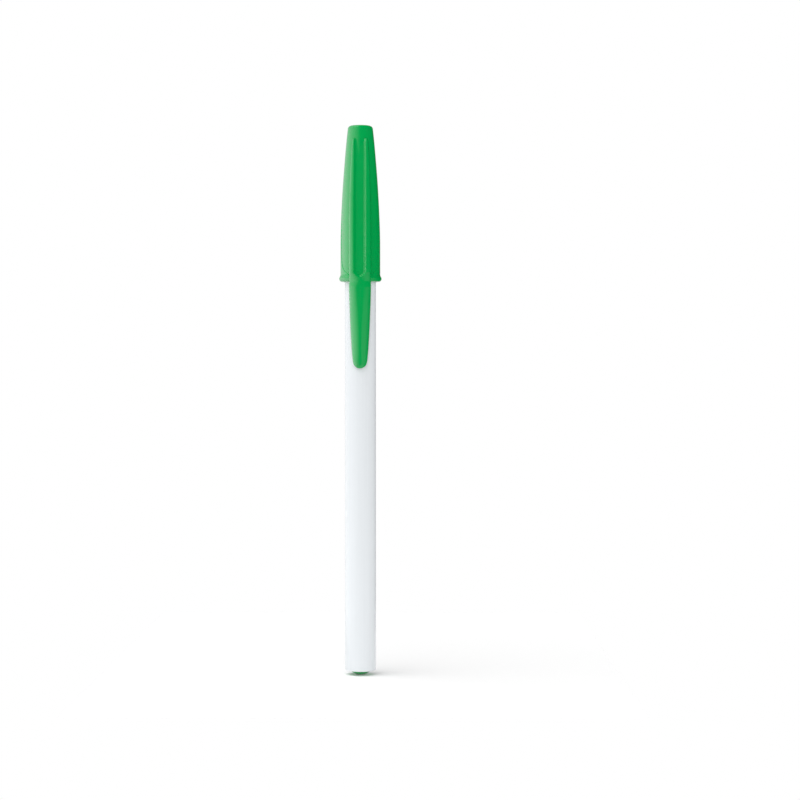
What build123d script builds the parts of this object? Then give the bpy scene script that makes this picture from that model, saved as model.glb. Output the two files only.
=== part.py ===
from math import cos, radians, sin, sqrt, tan
import os

from build123d import *

# Stick ballpoint pen in millimetres. Z is the pen's axis with the cap up, the clip faces -Y
# and the origin is the centre of the flat end that the pen can stand on.

# Barrel: a plain round tube
barrel_d = 8.4
barrel_wall = 1.0
barrel_length = 122.6
barrel_edge = 0.25

# Radial gap round pieces that are pressed together, and round the ink
press_gap = 0.02

# End plug: a hollow spigot in the barrel's bore, with a low domed head outside its rim
plug_head_height = 1.45
plug_head_d = 7.3
plug_flat_d = 4.4
plug_spigot_length = 8.0
plug_wall = 0.9
plug_lead = 0.4

# Tip holder: a spigot in the barrel's front end, a collar on its rim and a tapered nose
holder_spigot_length = 9.0
holder_collar = 1.0
holder_edge = 0.3
nose_length = 12.0
nose_end_d = 3.4
ink_passage_d = 1.6

# Ink tube and the column of ink in it
tube_d = 3.2
tube_wall = 0.6
tube_plug_room = 4.6
tube_socket_depth = 7.0
tube_air = 10.0

# Writing tip: a turned shank in the nose, a bare neck, a cone and a thin lip round the ball
tip_shank_d = 2.3
tip_seat = 8.0
tip_neck = 1.4
tip_cone = 3.15
tip_lip = 0.25
tip_lip_wall = 0.12
tip_bore_d = 1.2
tip_channel_d = 0.5
tip_channel_length = 2.0

# Ball in its socket
ball_d = 1.0
ball_gap = 0.02
ball_show = 0.3

# Cap: a tapered cup over the barrel's front end, with a bead round its mouth and a vented crown
cap_gap = 0.08
cap_lead = 0.25
cap_cover = 18.4
cap_skirt_wall = 1.08
cap_skirt_height = 10.3
cap_wall = 1.0
cap_top_wall = 1.45
cap_crown_d = 6.6
cap_crown_round = 0.95
cap_taper = 6.5
cap_taper_run = 13.0
cap_skirt_run = 4.0
cap_nose_room = 0.5
cap_point_room = 4.4
cap_vent_d = 2.0
bead_round = 0.85
bead_proud = 0.37
bead_hollow = 1.4

# Shallow panel sunk into the cap's front on each side of the spine, seen from the side as a line
# that fades in below the crown, bends at a knee and ends at the spine just above the bead
panel_depth = 0.22
panel_top_drop = 7.0
panel_top_offset = 0.45
panel_knee_offset = 1.9
panel_knee_height = 7.85
panel_end_offset = 4.4
panel_end_height = 2.25

# Clip: a spine that grows out of the cap and runs on past its mouth as a springy tongue
spine_top_drop = 3.7
spine_top_proud = 0.35
spine_proud = 1.14
spine_slope = 7.4
spine_slope_run = 12.0
spine_skirt_run = 5.0
spine_top_width = 4.3
clip_width = 5.9
clip_reach = 22.9
clip_gap = 0.25
clip_tip_gap = 0.45
clip_tip_thickness = 0.6
clip_tip_curve = 4.0
clip_tip_width = 3.2
clip_tip_round = 1.3
clip_mouth_run = 3.0
clip_tip_run = 4.0
clip_edge = 0.25

# Slot between the two ribs of the spine
slot_width = 2.6
slot_end_height = 1.9
slot_depth = 0.6

# Facets of the tongue: they fall off to its sides from a flat that has a neck under the slot, an eye
# below the cap's mouth and a narrow ridge at the tip
facet_top_height = 5.0
neck_height = 0.8
neck_width = 0.7
neck_slope = 24.0
eye_drop = 3.0
eye_width = 1.8
eye_slope = 31.0
ridge_width = 0.2
ridge_slope = 16.0
facet_steps = 10

# Radii and heights that follow from the sizes above
barrel_r = barrel_d / 2
bore_r = barrel_r - barrel_wall
seated_r = bore_r - press_gap
barrel_rear = plug_head_height
barrel_front = barrel_rear + barrel_length
spigot_rear = barrel_front - holder_spigot_length
tube_front = spigot_rear + tube_socket_depth
tube_rear = barrel_rear + plug_spigot_length + tube_plug_room
tube_bore_r = tube_d / 2 - tube_wall
nose_base = barrel_front + holder_collar
nose_end = nose_base + nose_length
shank_rear = nose_end - tip_seat
cone_base = nose_end + tip_neck
lip_base = cone_base + tip_cone
tip_end = lip_base + tip_lip
ball_r = ball_d / 2
ball_height = tip_end + ball_show - ball_r
socket_r = ball_r + ball_gap
channel_rear = ball_height - socket_r - tip_channel_length
cap_rim = barrel_front - cap_cover
cap_ceiling = tip_end + ball_show + cap_point_room
cap_top = cap_ceiling + cap_top_wall
cap_bore_r = barrel_r + cap_gap
cap_bore_top = nose_base + cap_nose_room
cap_root_r = cap_bore_r + cap_skirt_wall / 2
skirt_r = cap_bore_r + cap_skirt_wall
skirt_top = cap_rim + cap_skirt_height
crown_r = cap_crown_d / 2
crown_flat_r = crown_r - cap_crown_round
spine_r = skirt_r + spine_proud
spine_top = cap_top - spine_top_drop
clip_tip = cap_rim - clip_reach
outside = 2 * spine_r


def turned(outline):
    """solid turned about the pen's axis from an outline of radius and height"""
    return revolve(Plane.YZ * make_face(outline), Axis.Z)


def rod(radius, low, high):
    """plain round rod between two heights"""
    return turned(Polyline((0, low), (radius, low), (radius, high), (0, high), close=True))


def taper_curve(top, slope, top_run, bottom, bottom_run):
    """curve that leaves its top at a slope in degrees and comes down upright to its bottom"""
    below_top = (top[0] + top_run * tan(radians(slope)), top[1] - top_run)
    above_bottom = (bottom[0], bottom[1] + bottom_run)
    return Bezier(top, below_top, above_bottom, bottom)


def make_barrel():
    tube = rod(barrel_r, barrel_rear, barrel_front) - rod(bore_r, barrel_rear, barrel_front)
    outer_rims = tube.edges().filter_by(GeomType.CIRCLE).sort_by(SortBy.RADIUS)[-2:]
    return fillet(outer_rims, barrel_edge)


def make_end_plug():
    spigot_top = barrel_rear + plug_spigot_length
    hollow_r = seated_r - plug_wall
    head_edge = (plug_head_d / 2, plug_head_height)
    flat_edge = (plug_flat_d / 2, 0)
    dome = TangentArc(flat_edge, head_edge, tangent=(1, 0))
    rest = Polyline(
        head_edge,
        (seated_r, plug_head_height),
        (seated_r, spigot_top - plug_lead),
        (seated_r - plug_lead, spigot_top),
        (hollow_r, spigot_top),
        (hollow_r, plug_head_height + plug_wall),
        (0, plug_head_height + plug_wall),
        (0, 0),
        flat_edge,
    )
    return turned(dome + rest)


def make_tip_holder():
    body = turned(Polyline(
        (0, spigot_rear),
        (seated_r, spigot_rear),
        (seated_r, barrel_front),
        (barrel_r, barrel_front),
        (barrel_r, nose_base),
        (nose_end_d / 2, nose_end),
        (0, nose_end),
        close=True,
    ))
    collar_edges = body.edges().filter_by(GeomType.CIRCLE).sort_by(SortBy.RADIUS)[-2:]
    body = fillet(collar_edges, holder_edge)
    tube_socket = rod(tube_d / 2 + press_gap, spigot_rear, tube_front)
    passage = rod(ink_passage_d / 2, tube_front, shank_rear)
    tip_socket = rod(tip_shank_d / 2 + press_gap, shank_rear, nose_end)
    return body - tube_socket - passage - tip_socket


def make_writing_tip():
    shank_r = tip_shank_d / 2
    lip_r = socket_r + tip_lip_wall
    mouth_r = sqrt(socket_r**2 - (tip_end - ball_height) ** 2)
    body = turned(Polyline(
        (0, shank_rear),
        (shank_r, shank_rear),
        (shank_r, cone_base),
        (lip_r, lip_base),
        (mouth_r, tip_end),
        (0, tip_end),
        close=True,
    ))
    bore = rod(tip_bore_d / 2, shank_rear, channel_rear)
    channel = rod(tip_channel_d / 2, channel_rear, ball_height)
    return body - bore - channel - Pos(Z=ball_height) * Sphere(socket_r)


def make_ball():
    return Pos(Z=ball_height) * Sphere(ball_r)


def make_ink_tube():
    return rod(tube_d / 2, tube_rear, tube_front) - rod(tube_bore_r, tube_rear, tube_front)


def make_ink():
    column = rod(tube_bore_r - press_gap, tube_rear + tube_air, tube_front)
    passage = rod(ink_passage_d / 2 - press_gap, tube_front, shank_rear)
    tip_fill = rod(tip_bore_d / 2 - press_gap, shank_rear, channel_rear)
    return column + passage + tip_fill


def cap_side(bottom_r):
    """rounded crown edge and tapered side of the cap, down to a radius at the skirt's top"""
    lean = radians(cap_taper)
    shoulder = (
        crown_flat_r + cap_crown_round * cos(lean),
        cap_top - cap_crown_round * (1 - sin(lean)),
    )
    crown_edge = TangentArc((crown_flat_r, cap_top), shoulder, tangent=(1, 0))
    side = taper_curve(shoulder, cap_taper, cap_taper_run, (bottom_r, skirt_top), cap_skirt_run)
    return crown_edge + side


def cap_cup():
    """hollow cup with its bead and vent, without the clip"""
    bead_center = Vector(skirt_r + bead_proud - bead_round, cap_rim + bead_round)
    hollow_r = skirt_r + bead_hollow
    hollow_rise = sqrt((bead_round + bead_hollow) ** 2 - (hollow_r - bead_center.X) ** 2)
    hollow_center = Vector(hollow_r, bead_center.Y + hollow_rise)
    hollow_top = Vector(skirt_r, hollow_center.Y)
    hollow_end = bead_center + (hollow_center - bead_center).normalized() * bead_round
    bead_end = bead_center - Vector(0, bead_round)
    skirt = Line((skirt_r, skirt_top), hollow_top)
    hollow = TangentArc(hollow_top, hollow_end, tangent=(0, -1))
    bead = ThreePointArc(hollow_end, bead_center + Vector(bead_round, 0), bead_end)
    inside = Polyline(
        bead_end,
        (cap_bore_r + cap_lead, cap_rim),
        (cap_bore_r, cap_rim + cap_lead),
        (cap_bore_r, cap_bore_top),
        (crown_r - cap_wall, cap_ceiling),
        (cap_vent_d / 2, cap_ceiling),
        (cap_vent_d / 2, cap_top),
        (crown_flat_r, cap_top),
    )
    return turned(cap_side(skirt_r) + skirt + hollow + bead + inside)


def front_panels():
    """what is taken off the cup's front: outside a slimmer taper, forward of a curved line"""
    panel_r = skirt_r - panel_depth
    line_top = Vector(panel_top_offset, cap_top - panel_top_drop)
    knee = Vector(-panel_knee_offset, cap_rim + panel_knee_height)
    line_end = Vector(-panel_end_offset, cap_rim + panel_end_height)
    border = Line(line_top, knee) + TangentArc(knee, line_end, tangent=knee - line_top)
    rest = Polyline(line_end, (-outside, line_end.Y), (-outside, line_top.Y), line_top)
    forward = extrude(Plane.YZ * make_face(border + rest), outside, both=True)
    core = Polyline(
        (panel_r, skirt_top),
        (panel_r, cap_rim),
        (0, cap_rim),
        (0, cap_top),
        (crown_flat_r, cap_top),
    )
    return forward - turned(cap_side(panel_r) + core)


def spine_ridge(lowered=0):
    """crest line of the spine, or a line lowered under it, from the crown's height to the skirt"""
    top = (crown_r + spine_top_proud - lowered, cap_top)
    bottom = (spine_r - lowered, skirt_top)
    return taper_curve(top, spine_slope, spine_slope_run, bottom, spine_skirt_run)


def tongue_ridge():
    """crest line of the tongue, from the skirt to just below its tip"""
    tip_crest_r = barrel_r + clip_tip_gap + clip_tip_thickness
    return Bezier(
        (spine_r, skirt_top),
        (spine_r, cap_rim),
        (spine_r, clip_tip + clip_tip_curve),
        (tip_crest_r, clip_tip - clip_tip_thickness),
    )


def clip_ring():
    """ring whose outside is the clip's ridge and whose inside is sunk in the cup's wall"""
    spine = spine_ridge()
    tongue = tongue_ridge()
    inner = Polyline(
        tongue @ 1,
        (barrel_r + clip_tip_gap, clip_tip - clip_tip_thickness),
        (barrel_r + clip_gap, cap_rim),
        (barrel_r + clip_gap, cap_rim + bead_round),
        (cap_root_r, cap_rim + 2 * bead_round),
        (cap_root_r, cap_bore_top),
        (crown_r - cap_wall / 2, cap_top),
        spine @ 0,
    )
    return turned(spine + tongue + inner)


def clip_leaf():
    """front outline of the clip: widest at the cap's mouth, with a rounded tip"""
    tip_side = Vector(clip_tip_width / 2, clip_tip + clip_tip_round)
    top_side = Vector(spine_top_width / 2, spine_top)
    mouth_side = Vector(clip_width / 2, cap_rim)
    top = Line((-top_side.X, top_side.Y), top_side)
    tip = ThreePointArc(tip_side, (0, clip_tip), (-tip_side.X, tip_side.Y))
    spine_side = Line(top_side, mouth_side)
    tongue_side = Bezier(
        mouth_side,
        mouth_side + spine_side % 1 * clip_mouth_run,
        tip_side - tip % 0 * clip_tip_run,
        tip_side,
    )
    side = spine_side + tongue_side
    return make_face(top + side + tip + mirror(side, Plane.YZ))


def spine_slot():
    """outline of the slot: open at the top, with a round lower end above the bead"""
    side = slot_width / 2
    low = cap_rim + slot_end_height
    walls = Polyline((-side, low + side), (-side, cap_top), (side, cap_top), (side, low + side))
    end = ThreePointArc((side, low + side), (0, low), (-side, low + side))
    return make_face(walls + end)


def slot_floor():
    """bottom of the slot, which follows the spine's ridge and is rooted in the cup's wall"""
    floor_line = spine_ridge(slot_depth)
    rest = Polyline(
        floor_line @ 1,
        (spine_r - slot_depth, cap_rim),
        (cap_root_r, cap_rim),
        (cap_root_r, cap_bore_top),
        (crown_r - cap_wall / 2, cap_top),
        floor_line @ 0,
    )
    return turned(floor_line + rest) & extrude(Plane.XZ * (clip_leaf() & spine_slot()), outside)


def tongue_facet():
    """wedge over the tongue's right side, which starts at the crest's flat and deepens outwards"""
    ridge = tongue_ridge()
    eye_along = cap_skirt_height + eye_drop
    stations = [
        (cap_skirt_height - facet_top_height, clip_width, neck_slope),
        (cap_skirt_height - neck_height, neck_width, neck_slope),
    ]
    for step in range(facet_steps + 1):
        share = step / facet_steps
        along = eye_along + share * (ridge.length - eye_along)
        flat_width = ridge_width + (1 - share) ** 2 * (eye_width - ridge_width)
        slope = eye_slope + share * (ridge_slope - eye_slope)
        stations.append((along, flat_width, slope))
    sections = []
    for along, flat_width, slope in stations:
        crest = ridge.position_at(along, PositionMode.LENGTH)
        flat_edge = Vector(flat_width / 2, -crest.X)
        far = flat_edge + Vector(1, tan(radians(slope))) * clip_width
        outline = Polyline(flat_edge, far, (far.X, -outside), (flat_edge.X, -outside), close=True)
        sections.append(Pos(Z=crest.Y) * make_face(outline))
    return loft(sections, ruled=True)


def clip():
    """spine with its slot and tongue with its facets, the crest rounded as a rib's width allows"""
    rib_top_width = (spine_top_width - slot_width) / 2
    crest_edge = min(clip_edge, rib_top_width / 3)
    blank = clip_ring() & extrude(Plane.XZ * clip_leaf(), outside)
    slotted = blank - extrude(Plane.XZ * spine_slot(), outside)
    crest = slotted.faces().filter_by(GeomType.REVOLUTION)
    rib_tops = slotted.faces().sort_by(Axis.Z)[-2:].edges()
    rounded = fillet(crest.edges().filter_by(GeomType.CIRCLE, reverse=True) - rib_tops, crest_edge)
    facet = tongue_facet()
    return rounded - facet - mirror(facet, Plane.YZ) + slot_floor()


def make_cap():
    return cap_cup() - front_panels() + clip()


makers = {
    "barrel": make_barrel,
    "end_plug": make_end_plug,
    "tip_holder": make_tip_holder,
    "writing_tip": make_writing_tip,
    "ball": make_ball,
    "ink_tube": make_ink_tube,
    "ink": make_ink,
    "cap": make_cap,
}
os.makedirs("parts", exist_ok=True)
for name, maker in makers.items():
    solid = maker()
    export_step(solid, f"parts/{name}.step")
    print(f"{name} {solid.volume:.2f} mm3, overall height {cap_top:.2f} mm")
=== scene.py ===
import math

import bmesh
import bpy
import numpy as np
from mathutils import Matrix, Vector


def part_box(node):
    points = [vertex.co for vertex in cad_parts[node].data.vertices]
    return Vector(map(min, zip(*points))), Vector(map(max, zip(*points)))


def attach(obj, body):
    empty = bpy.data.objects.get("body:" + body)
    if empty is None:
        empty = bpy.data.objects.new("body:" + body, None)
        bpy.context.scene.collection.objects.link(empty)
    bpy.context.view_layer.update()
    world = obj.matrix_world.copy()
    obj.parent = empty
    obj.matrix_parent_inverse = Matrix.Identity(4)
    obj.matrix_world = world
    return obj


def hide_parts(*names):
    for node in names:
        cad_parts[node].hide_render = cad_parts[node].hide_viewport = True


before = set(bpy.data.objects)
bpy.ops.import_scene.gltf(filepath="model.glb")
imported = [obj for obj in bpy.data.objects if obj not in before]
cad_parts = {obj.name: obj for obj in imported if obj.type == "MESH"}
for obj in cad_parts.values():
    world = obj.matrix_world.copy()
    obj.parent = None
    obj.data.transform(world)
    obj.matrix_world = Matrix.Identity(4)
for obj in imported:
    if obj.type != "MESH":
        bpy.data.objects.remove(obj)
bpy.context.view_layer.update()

# capped stick ballpoint pen: its cap, barrel, plug and writing parts, then the floor, light and camera

scene = bpy.context.scene
mm = 0.001            # shapes are worked out in millimetres, meshes are in metres
weldDistance = 1e-6   # metres, joins the points of seams and poles
creaseAngle = 50      # degrees, sharper edges than this stay crisp
tiny = 1e-6           # stands in for zero where something is divided by it
samePoint = 1e-5      # mm, points of an outline that are closer than this are one


# helpers

def smoothStep(low, high, value):
    # 0 below low, 1 above high, an S curve between them
    t = np.clip((value - low) / (high - low), 0, 1)
    return t * t * (3 - 2 * t)


def bezierCurve(controls, count):
    # points of the cubic curve with four control points, one row each
    t = np.linspace(0, 1, count)[:, None]
    a, b, c, d = np.array(controls, float)
    return (1 - t) ** 3 * a + 3 * (1 - t) ** 2 * t * b + 3 * (1 - t) * t ** 2 * c + t ** 3 * d


def arcCurve(centre, radius, startAngle, endAngle, count):
    # points of a circle's arc, angles in degrees from the radial direction towards the top
    turn = np.radians(np.linspace(startAngle, endAngle, count))
    return np.stack((centre[0] + radius * np.cos(turn), centre[1] + radius * np.sin(turn)), axis=1)


def roundedOutline(corners, arcSteps=7):
    # corners are (radius, height, rounding): each becomes an arc that touches both of its sides
    corners = np.array(corners, float)
    points, rounding = corners[:, :2], corners[:, 2]
    toLast, toNext = np.roll(points, 1, axis=0) - points, np.roll(points, -1, axis=0) - points
    toLast = toLast / np.linalg.norm(toLast, axis=1, keepdims=True)
    toNext = toNext / np.linalg.norm(toNext, axis=1, keepdims=True)
    half = np.arccos(np.clip((toLast * toNext).sum(1), -1, 1)) / 2
    middle = toLast + toNext
    middle = middle / np.maximum(np.linalg.norm(middle, axis=1, keepdims=True), tiny)
    centre = points + middle * (rounding / np.sin(half))[:, None]
    start = points + toLast * (rounding / np.tan(half))[:, None] - centre
    end = points + toNext * (rounding / np.tan(half))[:, None] - centre
    sweep = np.maximum(math.pi - 2 * half, tiny)[:, None, None]
    t = np.linspace(0, 1, arcSteps)[None, :, None]
    blend = np.sin((1 - t) * sweep) * start[:, None] + np.sin(t * sweep) * end[:, None]
    outline = (centre[:, None] + blend / np.sin(sweep)).reshape(-1, 2)
    apart = np.linalg.norm(np.diff(outline, axis=0), axis=1) > samePoint
    return outline[np.concatenate(([True], apart))]


def refinedOutline(outline, step, clear=0.2):
    # the same outline with a point added every step, unless one is there already within clear steps
    length = np.concatenate(([0], np.cumsum(np.linalg.norm(np.diff(outline, axis=0), axis=1))))
    extra = np.arange(0, length[-1], step)
    away = np.abs(extra[:, None] - length[None]).min(1) > clear * step
    along = np.sort(np.concatenate((length, extra[away])))
    radius = np.interp(along, length, outline[:, 0])
    height = np.interp(along, length, outline[:, 1])
    return np.stack((radius, height), axis=1)


def closedOutline(outline, step):
    # the outline with its start added at the end, refined, and that doubled point dropped again
    return refinedOutline(np.concatenate((outline, outline[:1])), step)[:-1]


def turnedGrid(outline, segments=160):
    # outline of radius r and height z turned about the pen's axis: (r sin a, -r cos a, z)
    turn = np.linspace(0, 2 * math.pi, segments, endpoint=False)[None]
    radius, height = outline[:, :1], outline[:, 1:]
    return np.stack((radius * np.sin(turn), -radius * np.cos(turn), height + 0 * turn), axis=-1)


def addPiece(name, grid, closedRows, material, body, node):
    # grid of points whose columns close on themselves, its rows too where closedRows is true
    rows, columns = grid.shape[:2]
    index = np.arange(rows * columns).reshape(rows, columns)
    beside = np.roll(index, -1, axis=1)
    quads = np.stack((index, beside, np.roll(beside, -1, axis=0), np.roll(index, -1, axis=0)), axis=-1)
    if not closedRows:
        quads = quads[:-1]
    mesh = bpy.data.meshes.new(name)
    mesh.from_pydata(grid.reshape(-1, 3) * mm, [], quads.reshape(-1, 4).tolist())
    work = bmesh.new()
    work.from_mesh(mesh)
    bmesh.ops.remove_doubles(work, verts=work.verts, dist=weldDistance)
    bmesh.ops.recalc_face_normals(work, faces=work.faces)
    work.to_mesh(mesh)
    work.free()
    mesh.polygons.foreach_set("use_smooth", np.ones(len(mesh.polygons), bool))
    mesh.set_sharp_from_angle(angle=math.radians(creaseAngle))
    mesh.materials.append(material)
    piece = bpy.data.objects.new(name, mesh)
    scene.collection.objects.link(piece)
    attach(piece, body)
    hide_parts(node)
    print(name, len(mesh.polygons), "faces")


def srgbToLinear(hexColour):
    # the sRGB curve undone, for a colour written as #RRGGBB
    channels = np.array([int(hexColour[i:i + 2], 16) for i in (1, 3, 5)]) / 255
    linear = np.where(channels <= 0.04045, channels / 12.92, ((channels + 0.055) / 1.055) ** 2.4)
    return (*linear.tolist(), 1.0)


def addNode(tree, kind, settings=None, sockets=None):
    # one node: settings are its own properties; sockets, by name or number, are values or links, where
    # a whole node stands for its first output
    node = tree.nodes.new(kind)
    for key, value in (settings or {}).items():
        setattr(node, key, value)
    for key, value in (sockets or {}).items():
        if isinstance(value, bpy.types.Node):
            value = value.outputs[0]
        if isinstance(value, bpy.types.NodeSocket):
            tree.links.new(value, node.inputs[key])
        else:
            node.inputs[key].default_value = value
    return node


def startMaterial(name):
    # an empty material, and the Object coordinates that its patterns read
    material = bpy.data.materials.new(name)
    material.use_nodes = True
    tree = material.node_tree
    tree.nodes.clear()
    place = addNode(tree, "ShaderNodeTexCoord").outputs["Object"]
    return material, tree, place


def perMetre(size):
    # a noise scale from the real size of its marks in millimetres
    return 1 / (size * mm)


# materials

noiseSpan = {"From Min": 0.3, "From Max": 0.7}   # where nearly all of a noise texture's values lie
colourMix = {"data_type": "RGBA"}                # the colours of such a Mix node: inputs 6, 7, output 2
numberMix = {"data_type": "FLOAT"}               # the numbers of such a Mix node: inputs 2, 3, output 0
product = {"operation": "MULTIPLY"}
smaller = {"operation": "MINIMUM"}
larger = {"operation": "MAXIMUM"}

greenPlastic = {
    "deep": "#00A04A", "light": "#00A952",   # pigment is a little uneven along the flow
    "flowSize": 9.0, "flowStretch": 0.3,     # mm, and longer along the pen
    "glossSize": 1.7, "roughness": (0.09, 0.13), "ior": 1.49,
    "grainSize": 0.3, "grainDepth": 0.0003,  # mm; real mould grain is finer, drawn coarser to show
}


def mouldedGreenPolypropylene():
    # injection-moulded polypropylene: saturated colour, a gloss with soft edges, a faint waxy grain
    s = greenPlastic
    material, tree, place = startMaterial("mouldedGreenPolypropylene")
    along = addNode(tree, "ShaderNodeMapping", None, {"Vector": place, "Scale": (1, 1, s["flowStretch"])})
    flow = addNode(tree, "ShaderNodeTexNoise", None, {
        "Vector": along, "Scale": perMetre(s["flowSize"]), "Detail": 3.0})
    colour = addNode(tree, "ShaderNodeMix", colourMix, {
        0: flow.outputs["Fac"], 6: srgbToLinear(s["deep"]), 7: srgbToLinear(s["light"])})
    gloss = addNode(tree, "ShaderNodeTexNoise", None, {
        "Vector": place, "Scale": perMetre(s["glossSize"]), "Detail": 2.0})
    rough = addNode(tree, "ShaderNodeMapRange", None, {
        "Value": gloss.outputs["Fac"], **noiseSpan,
        "To Min": s["roughness"][0], "To Max": s["roughness"][1]})
    grain = addNode(tree, "ShaderNodeTexNoise", None, {
        "Vector": place, "Scale": perMetre(s["grainSize"]), "Detail": 1.0})
    bump = addNode(tree, "ShaderNodeBump", None, {
        "Strength": 1.0, "Distance": s["grainDepth"] * mm, "Height": grain.outputs["Fac"]})
    shader = addNode(tree, "ShaderNodeBsdfPrincipled", None, {
        "Base Color": colour.outputs[2], "Roughness": rough, "Normal": bump, "IOR": s["ior"]})
    addNode(tree, "ShaderNodeOutputMaterial", None, {"Surface": shader})
    return material


whitePlastic = {
    "deep": "#E4E8EB", "light": "#E9EDF0",
    "lineWidth": 0.45, "lineLength": 40.0, "lineDepth": 0.0003,   # mm, faint lines left by the die
    "glossSize": 6.0, "roughness": (0.20, 0.26), "ior": 1.59,
    "shine": 0.18,                           # the tube's skin is a little dulled by the die
}


def extrudedWhitePolystyrene():
    # extruded polystyrene tube: bright, with a weak gloss and very faint lines along its length
    s = whitePlastic
    material, tree, place = startMaterial("extrudedWhitePolystyrene")
    drawn = addNode(tree, "ShaderNodeMapping", None, {
        "Vector": place, "Scale": (1, 1, s["lineWidth"] / s["lineLength"])})
    lines = addNode(tree, "ShaderNodeTexNoise", None, {
        "Vector": drawn, "Scale": perMetre(s["lineWidth"]), "Detail": 2.0})
    colour = addNode(tree, "ShaderNodeMix", colourMix, {
        0: lines.outputs["Fac"], 6: srgbToLinear(s["deep"]), 7: srgbToLinear(s["light"])})
    gloss = addNode(tree, "ShaderNodeTexNoise", None, {
        "Vector": place, "Scale": perMetre(s["glossSize"]), "Detail": 2.0})
    rough = addNode(tree, "ShaderNodeMapRange", None, {
        "Value": gloss.outputs["Fac"], **noiseSpan,
        "To Min": s["roughness"][0], "To Max": s["roughness"][1]})
    bump = addNode(tree, "ShaderNodeBump", None, {
        "Strength": 1.0, "Distance": s["lineDepth"] * mm, "Height": lines.outputs["Fac"]})
    shader = addNode(tree, "ShaderNodeBsdfPrincipled", None, {
        "Base Color": colour.outputs[2], "Roughness": rough, "Normal": bump, "IOR": s["ior"],
        "Specular IOR Level": s["shine"]})
    addNode(tree, "ShaderNodeOutputMaterial", None, {"Surface": shader})
    return material


brassTip = {
    "deep": "#B98F45", "light": "#D9BC78", "patchSize": 1.2,
    "ringPitch": 0.16, "ringDepth": 0.002,   # mm; real feed marks are finer, drawn coarser to show
    "ringWander": 0.4, "roughness": (0.20, 0.34),
}


def turnedBrass():
    # brass turned on a lathe: warm metal with fine rings round it, duller where it is darker
    s = brassTip
    material, tree, place = startMaterial("turnedBrass")
    patch = addNode(tree, "ShaderNodeTexNoise", None, {
        "Vector": place, "Scale": perMetre(s["patchSize"]), "Detail": 3.0})
    colour = addNode(tree, "ShaderNodeMix", colourMix, {
        0: patch.outputs["Fac"], 6: srgbToLinear(s["deep"]), 7: srgbToLinear(s["light"])})
    rough = addNode(tree, "ShaderNodeMapRange", None, {
        "Value": patch.outputs["Fac"], **noiseSpan,
        "To Min": s["roughness"][1], "To Max": s["roughness"][0]})
    # a wave texture's bands repeat every 2 pi / 20 of its scaled coordinate
    rings = addNode(tree, "ShaderNodeTexWave", {"bands_direction": "Z"}, {
        "Vector": place, "Scale": perMetre(s["ringPitch"]) * math.pi / 10, "Distortion": s["ringWander"]})
    bump = addNode(tree, "ShaderNodeBump", None, {
        "Strength": 1.0, "Distance": s["ringDepth"] * mm, "Height": rings.outputs["Fac"]})
    shader = addNode(tree, "ShaderNodeBsdfPrincipled", None, {
        "Base Color": colour.outputs[2], "Roughness": rough, "Normal": bump, "Metallic": 1.0})
    addNode(tree, "ShaderNodeOutputMaterial", None, {"Surface": shader})
    return material


carbideBall = {
    "bare": "#9A9DA1", "inked": "#1E4A33", "filmSize": 0.35, "filmEdge": (0.46, 0.58),
    "roughness": (0.10, 0.22),
}


def groundCarbide():
    # ground tungsten carbide: grey mirror-like metal with a broken film of ink carried round on it
    s = carbideBall
    material, tree, place = startMaterial("groundCarbide")
    film = addNode(tree, "ShaderNodeTexNoise", None, {
        "Vector": place, "Scale": perMetre(s["filmSize"]), "Detail": 4.0})
    share = addNode(tree, "ShaderNodeMapRange", None, {
        "Value": film.outputs["Fac"], "From Min": s["filmEdge"][0], "From Max": s["filmEdge"][1]})
    colour = addNode(tree, "ShaderNodeMix", colourMix, {
        0: share, 6: srgbToLinear(s["bare"]), 7: srgbToLinear(s["inked"])})
    rough = addNode(tree, "ShaderNodeMapRange", None, {
        "Value": film.outputs["Fac"], **noiseSpan,
        "To Min": s["roughness"][0], "To Max": s["roughness"][1]})
    shader = addNode(tree, "ShaderNodeBsdfPrincipled", None, {
        "Base Color": colour.outputs[2], "Roughness": rough, "Metallic": 1.0})
    addNode(tree, "ShaderNodeOutputMaterial", None, {"Surface": shader})
    return material


naturalTube = {
    "deep": "#D5DCDA", "light": "#E6EBE9", "hazeSize": 2.5,
    "roughness": (0.28, 0.40), "ior": 1.49, "clear": 0.6,
}


def extrudedNaturalPolypropylene():
    # unpigmented polypropylene tube: milky, half clear, with a slight haze
    s = naturalTube
    material, tree, place = startMaterial("extrudedNaturalPolypropylene")
    haze = addNode(tree, "ShaderNodeTexNoise", None, {
        "Vector": place, "Scale": perMetre(s["hazeSize"]), "Detail": 3.0})
    colour = addNode(tree, "ShaderNodeMix", colourMix, {
        0: haze.outputs["Fac"], 6: srgbToLinear(s["deep"]), 7: srgbToLinear(s["light"])})
    rough = addNode(tree, "ShaderNodeMapRange", None, {
        "Value": haze.outputs["Fac"], **noiseSpan,
        "To Min": s["roughness"][0], "To Max": s["roughness"][1]})
    shader = addNode(tree, "ShaderNodeBsdfPrincipled", None, {
        "Base Color": colour.outputs[2], "Roughness": rough, "IOR": s["ior"],
        "Transmission Weight": s["clear"]})
    addNode(tree, "ShaderNodeOutputMaterial", None, {"Surface": shader})
    return material


wetInk = {
    "deep": "#02190E", "light": "#064326", "swirlSize": 1.5, "roughness": (0.05, 0.14), "ior": 1.45,
}


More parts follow.
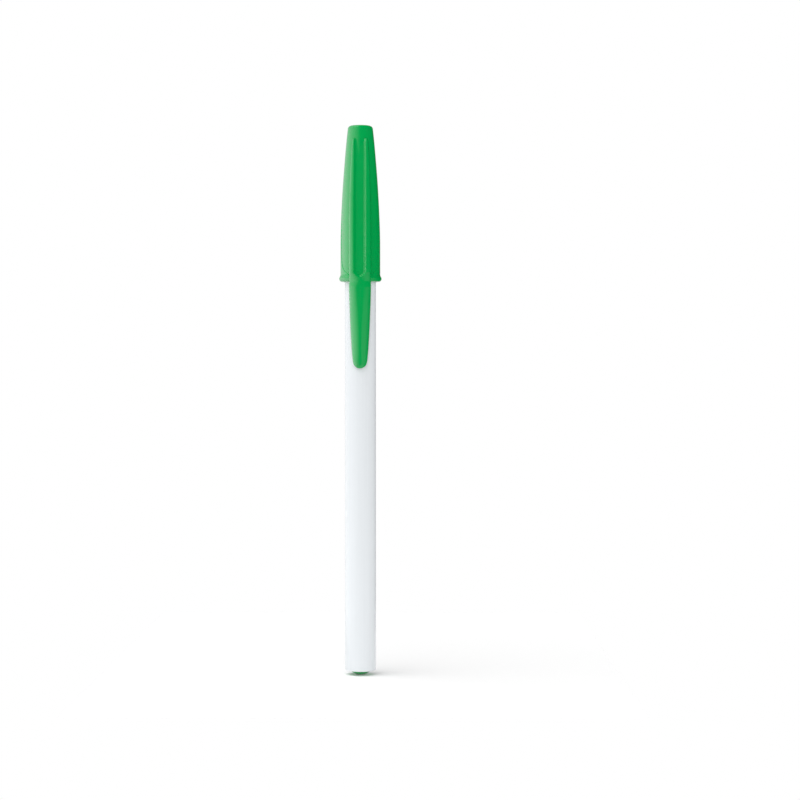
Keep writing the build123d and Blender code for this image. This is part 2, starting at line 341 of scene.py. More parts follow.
def greenOilInk():
    # oil-based ink: almost black green in bulk, wet gloss
    s = wetInk
    material, tree, place = startMaterial("greenOilInk")
    swirl = addNode(tree, "ShaderNodeTexNoise", None, {
        "Vector": place, "Scale": perMetre(s["swirlSize"]), "Detail": 3.0})
    colour = addNode(tree, "ShaderNodeMix", colourMix, {
        0: swirl.outputs["Fac"], 6: srgbToLinear(s["deep"]), 7: srgbToLinear(s["light"])})
    rough = addNode(tree, "ShaderNodeMapRange", None, {
        "Value": swirl.outputs["Fac"], **noiseSpan,
        "To Min": s["roughness"][0], "To Max": s["roughness"][1]})
    shader = addNode(tree, "ShaderNodeBsdfPrincipled", None, {
        "Base Color": colour.outputs[2], "Roughness": rough, "IOR": s["ior"]})
    addNode(tree, "ShaderNodeOutputMaterial", None, {"Surface": shader})
    return material


greenMoulding = mouldedGreenPolypropylene()
whiteTube = extrudedWhitePolystyrene()
brass = turnedBrass()
carbide = groundCarbide()
clearTube = extrudedNaturalPolypropylene()
greenInk = greenOilInk()
print("materials ready")


# main places from the frame, in millimetres

barrelLow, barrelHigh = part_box("barrel")
capLow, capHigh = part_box("cap")
barrelRadius = barrelHigh.x / mm
barrelRear = barrelLow.z / mm
barrelFront = barrelHigh.z / mm
capTop = capHigh.z / mm
clipTip = capLow.z / mm
capCover = 18.05                                  # how much of the barrel the cap goes over
capRim = barrelFront - capCover


# cap: the cup

cup = {
    "skirtRadius": 5.36, "skirtTop": capRim + 9.95,
    "crownRadius": 3.4, "crownRound": 0.95, "taper": 6.5, "taperRun": 13.0, "skirtRun": 4.0,
    "beadCentre": (4.88, capRim + 0.85), "beadRound": 0.85, "beadHollow": 1.4,
    "boreRadius": 4.28, "boreTop": barrelFront + 1.5, "boreRound": 0.6, "lead": 0.25, "leadRound": 0.05,
    "wall": 1.0, "topWall": 1.45, "ceilingRound": 0.4,
    "ventRadius": 1.0, "ventRound": 0.15, "ventInnerRound": 0.1,
    # the panel's border seen from the side, as y and height, and how it steps in there
    "panelTop": (0.45, capTop - 7.0), "panelKnee": (-1.8, capRim + 6.3), "panelEnd": (-4.43, capRim + 1.95),
    "panelDepth": 0.14, "panelStep": 0.12, "panelRunOut": 0.5,
    # points along the outline, then columns round it, with extra ones this far on each side of the border
    "sidePoints": 90, "skirtPoints": 30, "beadPoints": 26, "hollowPoints": 12, "crownPoints": 14,
    "borderPoints": 40, "insideStep": 1.5,
    "frontColumns": 30, "backColumns": 40, "borderReach": 0.4, "borderSpread": (0.035, 0.07, 0.1, 0.16, 0.3),
}


def cupSide(bottomRadius):
    # shoulder of the crown down to the top of the skirt: leaves at the taper, lands upright
    s = cup
    lean = math.radians(s["taper"])
    flat = s["crownRadius"] - s["crownRound"]
    shoulder = (flat + s["crownRound"] * math.cos(lean), capTop - s["crownRound"] * (1 - math.sin(lean)))
    below = (shoulder[0] + s["taperRun"] * math.tan(lean), shoulder[1] - s["taperRun"])
    above = (bottomRadius, s["skirtTop"] + s["skirtRun"])
    return bezierCurve((shoulder, below, above, (bottomRadius, s["skirtTop"])), s["sidePoints"])


def beadOutline():
    # round bead at the mouth, then a hollow that runs out into the skirt
    s = cup
    centre = np.array(s["beadCentre"])
    hollowRadius = s["skirtRadius"] + s["beadHollow"]
    reach = s["beadRound"] + s["beadHollow"]
    rise = math.sqrt(reach ** 2 - (hollowRadius - centre[0]) ** 2)
    meet = math.degrees(math.atan2(rise, hollowRadius - centre[0]))
    bead = arcCurve(centre, s["beadRound"], -90, meet, s["beadPoints"])
    hollow = arcCurve((hollowRadius, centre[1] + rise), s["beadHollow"], 180 + meet, 180, s["hollowPoints"])
    return np.concatenate((bead, hollow[1:]))


bead = beadOutline()
skirtHeights = np.linspace(bead[-1, 1], cup["skirtTop"], cup["skirtPoints"])[1:-1]
skirt = np.stack((np.full_like(skirtHeights, cup["skirtRadius"]), skirtHeights), axis=1)
side = cupSide(cup["skirtRadius"])[::-1]
outerSide = np.concatenate((bead, skirt, side))             # from the rim up to the crown's shoulder
panelSide = cupSide(cup["skirtRadius"] - cup["panelDepth"])[::-1]


def cupRadius(height):
    # the cup's outside, without its panels
    return np.interp(height, outerSide[:, 1], outerSide[:, 0])


def panelSink(height):
    # depth of the front panels: full on the skirt, running out to nothing at the crown and at the bead
    slim = np.interp(height, panelSide[:, 1], panelSide[:, 0])
    full = np.interp(height, side[:, 1], side[:, 0])
    lowest = cup["panelEnd"][1]
    return (full - slim) * smoothStep(lowest - cup["panelRunOut"], lowest, height)


def frontRadius(height):
    # the cup's outside within its front panels
    return cupRadius(height) - panelSink(height)


def panelBorder():
    # the panel's edge seen from the side: a straight run to the knee, then an arc to the spine
    top, knee, end = (np.array(cup[key]) for key in ("panelTop", "panelKnee", "panelEnd"))
    along = (knee - top) / np.linalg.norm(knee - top)
    across = np.array((-along[1], along[0]))
    chord = end - knee
    radius = (chord @ chord) / (2 * (across @ chord))
    centre = knee + across * radius
    sweep = 2 * math.atan2(across @ chord, along @ chord)
    turn = np.linspace(0, sweep, cup["borderPoints"])[:, None]
    arc = centre - radius * np.cos(turn) * across + radius * np.sin(turn) * along
    return np.concatenate((top[None], arc))[::-1]           # from the spine up to the crown


def cupInside():
    # from the crown's flat through the vent, out along the ceiling and down the bore to the rim
    s = cup
    ceiling = capTop - s["topWall"]
    inside = roundedOutline((
        (s["crownRadius"] - s["crownRound"], capTop, 0), (s["ventRadius"], capTop, s["ventRound"]),
        (s["ventRadius"], ceiling, s["ventInnerRound"]),
        (s["crownRadius"] - s["wall"], ceiling, s["ceilingRound"]),
        (s["boreRadius"], s["boreTop"], s["boreRound"]),
        (s["boreRadius"], capRim + s["lead"], s["leadRound"]),
        (s["boreRadius"] + s["lead"], capRim, s["leadRound"]), (s["beadCentre"][0], capRim, 0)))
    return refinedOutline(inside[1:-1], s["insideStep"])


def cupGrid():
    # closed outline of the cup turned about the axis; columns gather at the panel's border, where
    # the radius steps in by the panel's depth: r = outline - sink(z) * step(border - angle)
    s = cup
    crownCentre = (s["crownRadius"] - s["crownRound"], capTop - s["crownRound"])
    crown = arcCurve(crownCentre, s["crownRound"], s["taper"], 90, s["crownPoints"])[1:]
    outline = np.concatenate((outerSide, crown, cupInside()))
    isOuter = np.arange(len(outline)) < len(outerSide)
    radius, height = outline[:, :1], outline[:, 1:]
    outside = cupRadius(height)
    border = panelBorder()
    edge = np.interp(height, border[:, 1], border[:, 0])
    edgeTurn = np.arccos(np.clip(-edge / np.maximum(outside, 1), -1, 1))
    spread = np.array(s["borderSpread"])
    near = np.concatenate((-spread[::-1], (0,), spread))
    reach = s["borderReach"] / outside
    front = np.linspace(0, 1, s["frontColumns"])[None] * (edgeTurn - reach)
    middle = edgeTurn + near[None] / outside
    back = edgeTurn + reach + np.linspace(0, 1, s["backColumns"])[None] * (math.pi - edgeTurn - reach)
    half = np.concatenate((front, middle, back), axis=1)
    turn = np.concatenate((half, -half[:, -2:0:-1]), axis=1)
    inPanel = smoothStep(-s["panelStep"], s["panelStep"], (edgeTurn - np.abs(turn)) * outside)
    radius = radius - panelSink(height) * inPanel * isOuter[:, None]
    return np.stack((radius * np.sin(turn), -radius * np.cos(turn), height + 0 * turn), axis=-1)


addPiece("capCup", cupGrid(), True, greenMoulding, "cap", "cap")


# cap: the clip

clipFront = 6.48                                  # how far the clip stands out from the axis
spineTop = capTop - 3.7                           # where its spine comes out of the cup

clip = {
    "spineEnd": 0.7,                              # length of the spine's rounded upper end
    # ridge line as distance from the axis and height, down the spine and then down the tongue
    "ridge": ((3.65, capTop), (5.209, capTop - 12), (clipFront, cup["skirtTop"] + 5),
              (clipFront, cup["skirtTop"])),
    "tongue": ((clipFront, cup["skirtTop"]), (clipFront, capRim), (clipFront, clipTip + 4.0),
               (5.25, clipTip - 0.6)),
    "mouthGap": 0.25, "tipGap": 0.45,             # clear of the barrel
    # outline seen from the front, as half-widths
    "topHalf": 2.15, "spineSide": ((2.95, capTop - 12), (3.1, capRim + 16)),
    "mouthHalf": 3.025, "tipHalf": 1.8, "tipRise": 1.3, "mouthRun": 4.5, "tipRun": 2.0,
    # along the crest: height above the cap's mouth, half-width of its flat, radius of its round sides
    "crest": (
        (-23.25, 0, 2.0), (-18.5, 0, 2.2), (-13.6, 0.08, 2.5), (-9.1, 0.3, 2.6), (-4.55, 0.65, 2.3),
        (-1.4, 0.75, 2.55), (0, 0.2, 3.2), (0.8, 0.1, 3.2), (1.6, 0.9, 2.4), (2.3, 1.6, 1.5),
        (10.9, 1.62, 1.62), (21.6, 1.65, 1.55), (32.3, 1.45, 1.3), (38.3, 1.4, 1.2)),
    "crestSoft": 0.2, "crestSteep": 0.93,         # blend from flat to side, and how far round a side goes
    "edgeSoft": 0.3, "edgeFall": 0.2,             # width and drop of the rounded edge
    "tipSoft": 1.3, "tipFall": 0.5, "tipEase": 2.0,    # the same at the tip, and how that sets in
    "edgeWall": 0.25, "wallPower": 8,             # side wall that is left, and how sharply that sets in
    "draft": 0.15, "tongueDraft": 0.08, "draftRun": 3.0,    # how much the walls lean in above the tip
    # half-widths of the slot at its floor and at the crest, its depth and its end near the mouth
    "slotFloor": 1.03, "slotCrest": 1.72, "slotDepth": 0.5, "slotEnd": capRim + 2.8, "floorLift": 0.015,
    # foot of the side walls: a fillet on the cup, a rounded edge on the tongue, less where it is narrow
    "rootFillet": 0.15, "rootSink": 0.03, "innerRound": 0.06, "bendFade": 0.4, "leastBend": 0.001,
    "sunk": 0.4, "sunkShare": 0.97,               # the root's depth in the cup's wall, and its width
    # heights over which the inner face goes into the cup, and the tongue's draft becomes the spine's
    "onCup": (capRim + 0.6, capRim + 1.8), "onSpine": (capRim - 1.5, capRim + 0.5),
    # cross-sections: where each stretch starts and ends and how many it has, the tongue's down to the tip
    "endRows": (spineTop, spineTop - 1.2, 16), "spineRows": (spineTop - 1.5, capRim + 6, 64),
    "mouthRows": (capRim + 5.8, capRim - 2.5, 70), "tongueRows": (capRim - 2.8, 50), "tipRows": 22,
    # points of the curves and of a cross-section, whose columns gather towards the crest's edges
    "spinePoints": 80, "tonguePoints": 120,
    "crestColumns": 101, "crestGather": 1.35, "wallColumns": 15, "wallGather": 0.8, "innerColumns": 25,
}


def tipCircle():
    # circle of the rounded tip: through the tip and both ends of its arc
    half, rise = clip["tipHalf"], clip["tipRise"]
    radius = (half ** 2 + rise ** 2) / (2 * rise)
    return clipTip + radius, radius


def clipRows():
    # heights of the cross-sections, closest at the spine's end, round the mouth and on the tip
    s = clip
    tipCentre, tipRadius = tipCircle()
    tongueStart, tongueCount = s["tongueRows"]
    tipTurn = np.linspace(0, math.pi / 2, s["tipRows"])[1:]
    return np.concatenate((
        np.linspace(*s["endRows"]), np.linspace(*s["spineRows"]), np.linspace(*s["mouthRows"]),
        np.linspace(tongueStart, tipCentre, tongueCount), tipCentre - tipRadius * np.sin(tipTurn)))


def clipHalfWidth(heights):
    # leaf outline: a full curve down the spine, another along the tongue, a round tip
    s = clip
    tipCentre, tipRadius = tipCircle()
    topPoint, mouthPoint = np.array((s["topHalf"], spineTop)), np.array((s["mouthHalf"], capRim))
    spine = bezierCurve((topPoint, *s["spineSide"], mouthPoint), s["spinePoints"])[::-1]
    mouthLead = mouthPoint - np.array(s["spineSide"][1])
    mouthLead = mouthLead / np.linalg.norm(mouthLead) * s["mouthRun"]
    tipPoint = np.array((s["tipHalf"], clipTip + s["tipRise"]))
    tipLead = np.array((tipCentre - tipPoint[1], tipPoint[0])) / tipRadius * s["tipRun"]
    leafControls = (mouthPoint, mouthPoint + mouthLead, tipPoint + tipLead, tipPoint)
    leaf = bezierCurve(leafControls, s["tonguePoints"])[::-1]
    outline = np.concatenate((leaf[:-1], spine))
    inTip = np.sqrt(np.maximum(tipRadius ** 2 - np.minimum(heights - tipCentre, 0) ** 2, 0))
    return np.where(heights < tipPoint[1], inTip, np.interp(heights, outline[:, 1], outline[:, 0]))


def spineEnd(z):
    # 1 all down the clip, falling to 0 as a quarter circle does at the spine's upper end
    length = clip["spineEnd"]
    return np.sqrt(1 - np.clip((z - spineTop + length) / length, 0, 1) ** 2)


def ridgeFront(z):
    # distance of the ridge from the axis, which runs down into the cup at the spine's upper end
    s = clip
    spine, tongue = bezierCurve(s["ridge"], s["spinePoints"]), bezierCurve(s["tongue"], s["tonguePoints"])
    line = np.concatenate((spine[:-1], tongue))[::-1]
    ridge = np.interp(z, line[:, 1], line[:, 0])
    onFront = frontRadius(z)
    return np.where(z > capRim, onFront + (ridge - onFront) * spineEnd(z), ridge)


def innerFace(z, onCup):
    # distance of the inner face from the axis: clear of the barrel, and sunk in the cup's wall above
    s = clip
    along = np.clip((capRim - z) / (capRim - clipTip), 0, 1)
    tongue = barrelRadius + s["mouthGap"] + (s["tipGap"] - s["mouthGap"]) * along
    return tongue + (frontRadius(z) - s["sunk"] - tongue) * onCup


def clipCrest(z, rootWidth, inner):
    # outer face from its left edge to its right, y = -(ridge(z) - drop): the drop is that of a round
    # side, arc - sqrt(arc^2 - ramp^2), where the ramp is 0 on the flat and |x| - flat beside it, plus
    # the edge's rounding, which is larger at the tip; all of it is eased where it would leave no wall
    s = clip
    tipCentre, tipRadius = tipCircle()
    ridge = ridgeFront(z)
    onSpine = smoothStep(*s["onSpine"], z)
    draft = s["draft"] * onSpine + s["tongueDraft"] * (1 - onSpine)
    width = rootWidth - draft * smoothStep(tipCentre, tipCentre + s["draftRun"], z)
    gather = s["crestGather"]
    x = width * np.sin(gather * np.linspace(-1, 1, s["crestColumns"]))[None] / math.sin(gather)
    out = np.sqrt(x ** 2 + np.maximum(tipCentre - z, 0) ** 2)
    edge = np.where(z < tipCentre, tipRadius, width)
    heights, flats, arcs = np.array(s["crest"]).T
    flat = np.interp(z - capRim, heights, flats)
    arc = np.interp(z - capRim, heights, arcs)
    atTip = 1 - smoothStep(tipCentre - s["tipEase"], tipCentre + s["tipEase"], z)
    edgeSoft = s["edgeSoft"] + (s["tipSoft"] - s["edgeSoft"]) * atTip
    edgeFall = s["edgeFall"] + (s["tipFall"] - s["edgeFall"]) * atTip

    def crestDrop(reach):
        soft = np.sqrt((reach - flat) ** 2 + s["crestSoft"] ** 2) - np.sqrt(flat ** 2 + s["crestSoft"] ** 2)
        nearEdge = np.clip((reach - edge + edgeSoft) / edgeSoft, 0, 1)
        ramp = np.minimum((reach + soft) / 2, s["crestSteep"] * arc)
        return arc - np.sqrt(arc ** 2 - ramp ** 2) + edgeFall * (1 - np.sqrt(1 - nearEdge ** 2))

    footing = np.where(z > capRim, frontRadius(z), inner)
    room = ridge - np.sqrt(np.maximum(footing ** 2 - rootWidth ** 2, 0)) - s["edgeWall"] * spineEnd(z)
    share = np.maximum(room, 0) / crestDrop(edge)
    share = share / (1 + share ** s["wallPower"]) ** (1 / s["wallPower"])    # eased minimum of it and 1
    return x, -(ridge - crestDrop(out) * share)


def slotCut(z, x, crestY):
    # the crest with the slot sunk into it: down to the cup's front or by the slot's depth, whichever
    # stands further out, with sloped walls and a round end towards the mouth
    s = clip
    slotReach = np.sqrt(x ** 2 + np.minimum(z - s["slotEnd"], 0) ** 2)
    slot = 1 - smoothStep(s["slotFloor"], s["slotCrest"], slotReach)
    cupY = -np.sqrt(np.maximum(frontRadius(z) ** 2 - x ** 2, 0)) - s["floorLift"]
    floorY = np.minimum(cupY, -(ridgeFront(z) - s["slotDepth"]))
    return crestY + np.maximum(floorY - crestY, 0) * slot * (z > capRim)


def clipGrid():
    # cross-sections down the clip, each going along the crest, down the right wall, back along the
    # inner face and up the left wall; the spine's upper end is closed on one point
    s = clip
    rows = clipRows()
    z = rows[:, None]
    rootWidth = clipHalfWidth(rows)[:, None]
    onCup = smoothStep(*s["onCup"], z)
    isRoot = onCup > 0.5
    inner = innerFace(z, onCup)
    x, crestY = clipCrest(z, rootWidth, inner)
    crestY = slotCut(z, x, crestY)

    # the drafted side walls, which flare out at the root on the cup and turn in at the tongue's inner edge
    edgeX, edgeY = x[:, -1:], crestY[:, -1:]
    bend = s["rootFillet"] * onCup - s["innerRound"] * (1 - onCup)
    bend = bend * np.minimum(1, rootWidth / s["bendFade"])
    lowX = rootWidth + bend
    lowRadius = np.where(isRoot, frontRadius(z), inner)
    lowY = -np.sqrt(np.maximum(lowRadius ** 2 - lowX ** 2, 0)) + s["rootSink"] * onCup
    down = np.linspace(0, 1, s["wallColumns"])[None, 1:] ** s["wallGather"]
    wallY = edgeY + (lowY - edgeY) * down
    near = 1 - np.clip((lowY - wallY) / np.maximum(np.abs(bend), s["leastBend"]), 0, 1)
    wallX = edgeX + (rootWidth - edgeX) * down + bend * (1 - np.sqrt(1 - near ** 2))

    # the inner face, concentric with the barrel or sunk in the cup's wall
    innerX = lowX * np.linspace(1, -1, s["innerColumns"])[None] * np.where(isRoot, s["sunkShare"], 1)
    innerY = -np.sqrt(np.maximum(inner ** 2 - innerX ** 2, 0))
    sectionX = np.concatenate((x, wallX, innerX, -wallX[:, ::-1]), axis=1)
    sectionY = np.concatenate((crestY, wallY, innerY, wallY[:, ::-1]), axis=1)
    grid = np.stack((sectionX, sectionY, z + 0 * sectionX), axis=-1)
    topEnd = np.broadcast_to(grid[0].mean(0), grid[:1].shape)
    return np.concatenate((topEnd, grid))


addPiece("capClip", clipGrid(), False, greenMoulding, "cap", "cap")


# barrel: a plain extruded tube, cut square with its outer rims rounded

barrel = {
    "wall": 1.0, "rimRound": 0.3, "boreRound": 0.08, "rowStep": 2.5, "segments": 192,
    "rimLower": 0.25,                             # the rear rim comes this much further down the plug
}
bore = barrelRadius - barrel["wall"]
rearRim = barrelRear - barrel["rimLower"]
barrelOutline = closedOutline(roundedOutline((
    (barrelRadius, rearRim, barrel["rimRound"]), (barrelRadius, barrelFront, barrel["rimRound"]),
    (bore, barrelFront, barrel["boreRound"]), (bore, rearRim, barrel["boreRound"]))), barrel["rowStep"])
barrelGrid = turnedGrid(barrelOutline, barrel["segments"])
addPiece("barrelTube", barrelGrid, True, whiteTube, "pen", "barrel")


# end plug: domed head outside the rim, hollow spigot in the bore

plug = {
    "headRadius": 2.95, "flatRadius": 0.1, "spigotLength": 8.0, "wall": 0.9, "lead": 0.4, "gap": 0.02,
    "edgeRound": 0.1, "floorRound": 0.3, "domePoints": 24, "rowStep": 1.0,
}
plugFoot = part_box("end_plug")[0].z / mm
spigot = bore - plug["gap"]
spigotTop = rearRim + plug["spigotLength"]
hollow = spigot - plug["wall"]
plugFloor = rearRim + plug["wall"]
domeHeight = rearRim - plugFoot
domeReach = plug["headRadius"] - plug["flatRadius"]
domeRadius = (domeReach ** 2 + domeHeight ** 2) / (2 * domeHeight)     # arc that leaves the flat level
domeEnd = math.degrees(math.asin(domeReach / domeRadius)) - 90
domeCentre = (plug["flatRadius"], plugFoot + domeRadius)
dome = arcCurve(domeCentre, domeRadius, -90, domeEnd, plug["domePoints"])
plugInside = roundedOutline((
    (plug["headRadius"], rearRim, 0), (spigot, rearRim, 0),
    (spigot, spigotTop - plug["lead"], plug["edgeRound"]),
    (spigot - plug["lead"], spigotTop, plug["edgeRound"]), (hollow, spigotTop, plug["edgeRound"]),
    (hollow, plugFloor, plug["floorRound"]), (0, plugFloor, 0)))
plugCentre = np.array(((0, plugFoot),))
plugOutline = refinedOutline(np.concatenate((plugCentre, dome, plugInside[1:])), plug["rowStep"])
addPiece("endPlug", turnedGrid(plugOutline), False, greenMoulding, "pen", "end_plug")


# tip holder: spigot in the barrel, collar on its rim, tapered nose round the tip

holder = {
    "collar": 1.0, "collarRound": 0.3, "noseEnd": 1.7, "noseRound": 0.2, "lead": 0.3,
    "tubeSocket": 1.62, "socketDepth": 7.0, "passage": 0.8, "tipSocket": 1.17, "tipSeat": 8.0,
    "tubeEdge": 0.1, "tipEdge": 0.05, "rowStep": 1.0,
}
holderLow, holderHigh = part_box("tip_holder")
holderRear, noseEnd = holderLow.z / mm, holderHigh.z / mm
tubeFront = holderRear + holder["socketDepth"]
tipSeat = noseEnd - holder["tipSeat"]
holderOutline = closedOutline(roundedOutline((
    (holder["tubeSocket"], holderRear, holder["tubeEdge"]), (spigot, holderRear, holder["lead"]),
    (spigot, barrelFront, 0), (barrelRadius, barrelFront, holder["collarRound"]),
    (barrelRadius, barrelFront + holder["collar"], holder["collarRound"]),
    (holder["noseEnd"], noseEnd, holder["noseRound"]), (holder["tipSocket"], noseEnd, holder["tipEdge"]),
    (holder["tipSocket"], tipSeat, 0), (holder["passage"], tipSeat, 0), (holder["passage"], tubeFront, 0),
    (holder["tubeSocket"], tubeFront, 0))), holder["rowStep"])
addPiece("tipHolder", turnedGrid(holderOutline), True, greenMoulding, "pen", "tip_holder")


# writing tip: turned shank, cone and the thin lip that is rolled over the ball

tip = {
    "shank": 1.15, "neck": 1.4, "lipLength": 0.25, "lipWall": 0.12, "ballGap": 0.02,
    "bore": 0.6, "channel": 0.25, "channelLength": 2.0,
    "edgeRound": 0.06, "boreRound": 0.05, "rearRound": 0.15,
    "socketPoints": 16, "rowStep": 0.5, "segments": 96,
}
tipLow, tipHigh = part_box("writing_tip")
ballLow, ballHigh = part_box("ball")
tipRear, tipEnd = tipLow.z / mm, tipHigh.z / mm
ballRadius = (ballHigh.z - ballLow.z) / (2 * mm)
ballHeight = (ballHigh.z + ballLow.z) / (2 * mm)
socket = ballRadius + tip["ballGap"]
lipRadius = socket + tip["lipWall"]
mouthAngle = math.degrees(math.asin((tipEnd - ballHeight) / socket))
channelAngle = -math.degrees(math.acos(tip["channel"] / socket))
mouth = socket * math.cos(math.radians(mouthAngle))
channelRear = ballHeight - socket - tip["channelLength"]
tipOuter = roundedOutline((
    (tip["bore"], channelRear, 0), (tip["bore"], tipRear, tip["boreRound"]),
    (tip["shank"], tipRear, tip["rearRound"]), (tip["shank"], noseEnd + tip["neck"], tip["edgeRound"]),
    (lipRadius, tipEnd - tip["lipLength"], tip["edgeRound"]), (mouth, tipEnd, 0)))
tipSocket = arcCurve((0, ballHeight), socket, mouthAngle, channelAngle, tip["socketPoints"])[1:]
tipChannel = np.array(((tip["channel"], channelRear),))
tipOutline = closedOutline(np.concatenate((tipOuter, tipSocket, tipChannel)), tip["rowStep"])
tipGrid = turnedGrid(tipOutline, tip["segments"])
addPiece("writingTip", tipGrid, True, brass, "pen", "writing_tip")


# ball: turned from a half circle, its poles on the pen's axis

ball = {"rings": 49, "segments": 96}
ballOutline = arcCurve((0, ballHeight), ballRadius, -90, 90, ball["rings"])
ballGrid = turnedGrid(ballOutline, ball["segments"])
addPiece("writingBall", ballGrid, False, carbide, "ball", "ball")


# the ink tube and the ink keep their solids, inside the barrel

for nodeName, material in (("ink_tube", clearTube), ("ink", greenInk)):
    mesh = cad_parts[nodeName].data
    mesh.materials.clear()
    mesh.materials.append(material)
print("pieces ready")


# floor

paper = {
    "width": 0.14, "front": 0.07, "back": 0.14,   # metres: across, in front of the pen and behind it
    "colour": "#F4F4F4", "lift": 0.10,
}


def paperFloor():
    # sheet of matte paper: where it is looked at or mirrored it is lifted to white, apart from the shadow
    s = paper
    x = np.array((-1, 1)) * s["width"] / 2
    y = np.array((-s["front"], s["back"]))
    corners = np.stack(np.meshgrid(x, y), axis=-1).reshape(-1, 2)
    mesh = bpy.data.meshes.new("floor")
    mesh.from_pydata(np.concatenate((corners, np.zeros((4, 1))), axis=1), [], [(0, 1, 3, 2)])
    material = bpy.data.materials.new("mattePaper")
    material.use_nodes = True
    tree = material.node_tree
    tree.nodes.clear()
    ray = addNode(tree, "ShaderNodeLightPath")
    seen = addNode(tree, "ShaderNodeMath", larger, {
        0: ray.outputs["Is Camera Ray"], 1: ray.outputs["Is Glossy Ray"]})
    seen = addNode(tree, "ShaderNodeMath", larger, {0: seen, 1: ray.outputs["Is Transmission Ray"]})
    lift = addNode(tree, "ShaderNodeMath", product, {0: seen, 1: s["lift"]})
    matte = addNode(tree, "ShaderNodeBsdfDiffuse", None, {"Color": srgbToLinear(s["colour"])})
    glow = addNode(tree, "ShaderNodeEmission", None, {"Strength": lift})
    both = addNode(tree, "ShaderNodeAddShader", None, {0: matte, 1: glow})
    addNode(tree, "ShaderNodeOutputMaterial", None, {"Surface": both})
    mesh.materials.append(material)
    floor = bpy.data.objects.new("floor", mesh)
    scene.collection.objects.link(floor)


# light

leftGlow = 3.2                                    # brightest place of the room's glow, on the left
backGlow = 1.0                                    # the white backdrop

studio = {
    "leftPower": 1.25,                            # how the glow grows from the camera to the left
    # angles round the pen in degrees, 0 towards the camera and positive on the left: from, to, and the
    # level at each of the two
    "turnRamps": {
        "quarter": (0, 90, 0, math.pi / 2), "fall": (105, 155, leftGlow, backGlow),
        "behind": (-180, -155, backGlow, 0), "onRight": (-22, -3, 1, 0), "fading": (-110, -60, 0, 1)},
    # height of a direction, 0 level and 1 straight up: from, to, and the level at each of the two
    "heightRamps": {
        "weaker": (0.08, 0.32, 1, 0.62), "below": (-0.06, 0.03, 0.58, 0), "matt": (0.5, 0.85, 0.75, 0.2)},
}


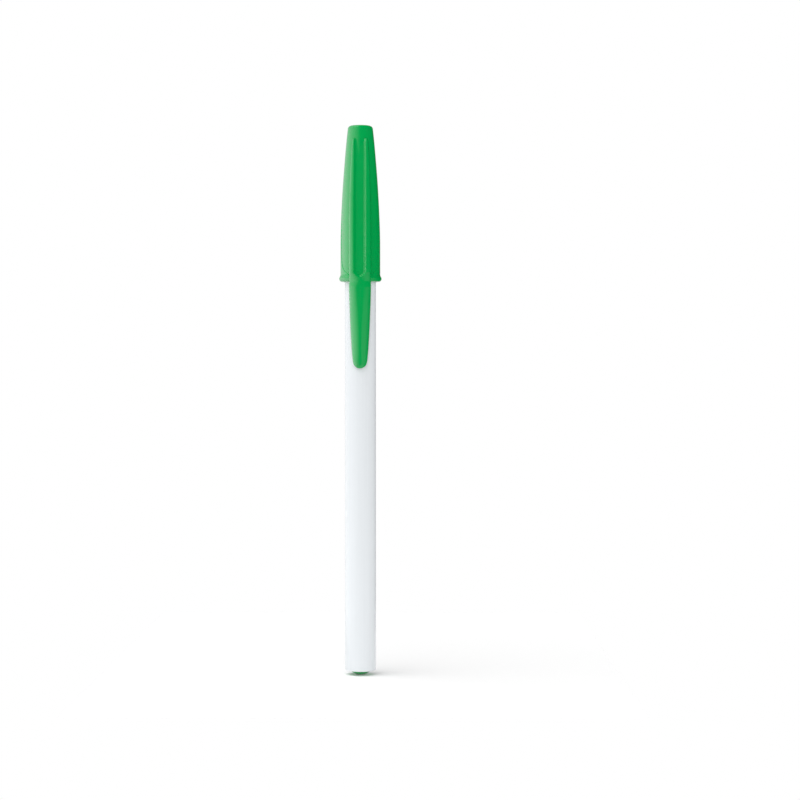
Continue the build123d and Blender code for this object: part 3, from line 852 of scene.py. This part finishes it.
def studioWorld():
    # white backdrop for the camera; on matt surfaces a light that weakens overhead; in reflections a glow
    # that grows from the camera round to the left, the white backdrop behind, and on the right a dark
    # room with a pale floor below it
    s = studio
    world = bpy.data.worlds.new("studio")
    scene.world = world
    world.use_nodes = True
    world.cycles.sampling_method = "NONE"
    tree = world.node_tree
    tree.nodes.clear()
    ray = addNode(tree, "ShaderNodeLightPath")
    way = addNode(tree, "ShaderNodeTexCoord").outputs["Generated"]
    axis = addNode(tree, "ShaderNodeSeparateXYZ", None, {0: way})
    towardsLeft = addNode(tree, "ShaderNodeMath", product, {0: axis.outputs["X"], 1: -1.0})
    towardsFront = addNode(tree, "ShaderNodeMath", product, {0: axis.outputs["Y"], 1: -1.0})
    around = addNode(tree, "ShaderNodeMath", {"operation": "ARCTAN2"}, {0: towardsLeft, 1: towardsFront})
    ramp = {}
    for name, (start, end, first, last) in s["turnRamps"].items():
        ramp[name] = addNode(tree, "ShaderNodeMapRange", None, {
            "Value": around, "From Min": math.radians(start), "From Max": math.radians(end),
            "To Min": first, "To Max": last})
    for name, (start, end, first, last) in s["heightRamps"].items():
        ramp[name] = addNode(tree, "ShaderNodeMapRange", None, {
            "Value": axis.outputs["Z"], "From Min": start, "From Max": end, "To Min": first, "To Max": last})

    # what a reflection shows: the sides, or the floor on the right where that is brighter
    rise = addNode(tree, "ShaderNodeMath", {"operation": "SINE"}, {0: ramp["quarter"]})
    rise = addNode(tree, "ShaderNodeMath", {"operation": "POWER"}, {0: rise, 1: s["leftPower"]})
    rise = addNode(tree, "ShaderNodeMath", product, {0: rise, 1: leftGlow})
    sides = addNode(tree, "ShaderNodeMath", smaller, {0: rise, 1: ramp["fall"]})
    sides = addNode(tree, "ShaderNodeMath", larger, {0: sides, 1: ramp["behind"]})
    sides = addNode(tree, "ShaderNodeMath", product, {0: sides, 1: ramp["weaker"]})
    onRight = addNode(tree, "ShaderNodeMath", product, {0: ramp["onRight"], 1: ramp["fading"]})
    lowFloor = addNode(tree, "ShaderNodeMath", product, {0: ramp["below"], 1: onRight})
    mirrored = addNode(tree, "ShaderNodeMath", larger, {0: sides, 1: lowFloor})

    # each kind of ray gets its own strength
    light = addNode(tree, "ShaderNodeMix", numberMix, {
        0: ray.outputs["Is Glossy Ray"], 2: ramp["matt"], 3: mirrored})
    seen = addNode(tree, "ShaderNodeMath", larger, {
        0: ray.outputs["Is Camera Ray"], 1: ray.outputs["Is Transmission Ray"]})
    strength = addNode(tree, "ShaderNodeMix", numberMix, {0: seen, 2: light, 3: 1.0})
    background = addNode(tree, "ShaderNodeBackground", None, {"Color": (1, 1, 1, 1), "Strength": strength})
    addNode(tree, "ShaderNodeOutputWorld", None, {"Surface": background})


lamps = {
    # direction left of the camera and above the floor, softness, all in degrees, and strength
    "leftKey": {"left": 57, "above": 64, "soft": 55, "strength": 1.75},
    "frontFill": {"left": 5, "above": 12, "soft": 60, "strength": 0.4},
    "rightFill": {"left": -70, "above": 10, "soft": 60, "strength": 0.35},
}


def softLamps():
    # wide soft lamps, which light the pen and don't show in reflections
    for name, s in lamps.items():
        light = bpy.data.lights.new(name, "SUN")
        light.energy = s["strength"]
        light.angle = math.radians(s["soft"])
        lamp = bpy.data.objects.new(name, light)
        turn, rise = math.radians(s["left"]), math.radians(s["above"])
        toLamp = Vector((-math.sin(turn) * math.cos(rise), -math.cos(turn) * math.cos(rise), math.sin(rise)))
        lamp.location = toLamp
        lamp.rotation_euler = (-toLamp).to_track_quat("-Z", "Y").to_euler()
        lamp.visible_glossy = False
        scene.collection.objects.link(lamp)


# camera

view = {
    # metres, and degrees round the pen; the eye is a little above the pen's middle, and the pen stands
    # left of the picture's middle
    "turn": 0.4, "distance": 0.56, "eye": 0.084, "beside": 0.01068, "aim": 0.0742,
    "lens": 93.4, "sensor": 36.0,                 # mm
}


def photoCamera():
    # camera at the photograph's viewing angle, almost square on to the clip
    s = view
    turn = math.radians(s["turn"])
    across = Vector((math.cos(turn), math.sin(turn), 0)) * s["beside"]
    towards = Vector((math.sin(turn), -math.cos(turn), 0)) * s["distance"]
    data = bpy.data.cameras.new("photoCamera")
    data.lens = s["lens"]
    data.sensor_width = s["sensor"]
    camera = bpy.data.objects.new("photoCamera", data)
    camera.location = across + towards + Vector((0, 0, s["eye"]))
    aim = across + Vector((0, 0, s["aim"]))
    camera.rotation_euler = (aim - camera.location).to_track_quat("-Z", "Y").to_euler()
    scene.collection.objects.link(camera)
    scene.camera = camera


paperFloor()
studioWorld()
softLamps()
photoCamera()
scene.view_settings.view_transform = "Standard"
print("stage, light and camera ready")
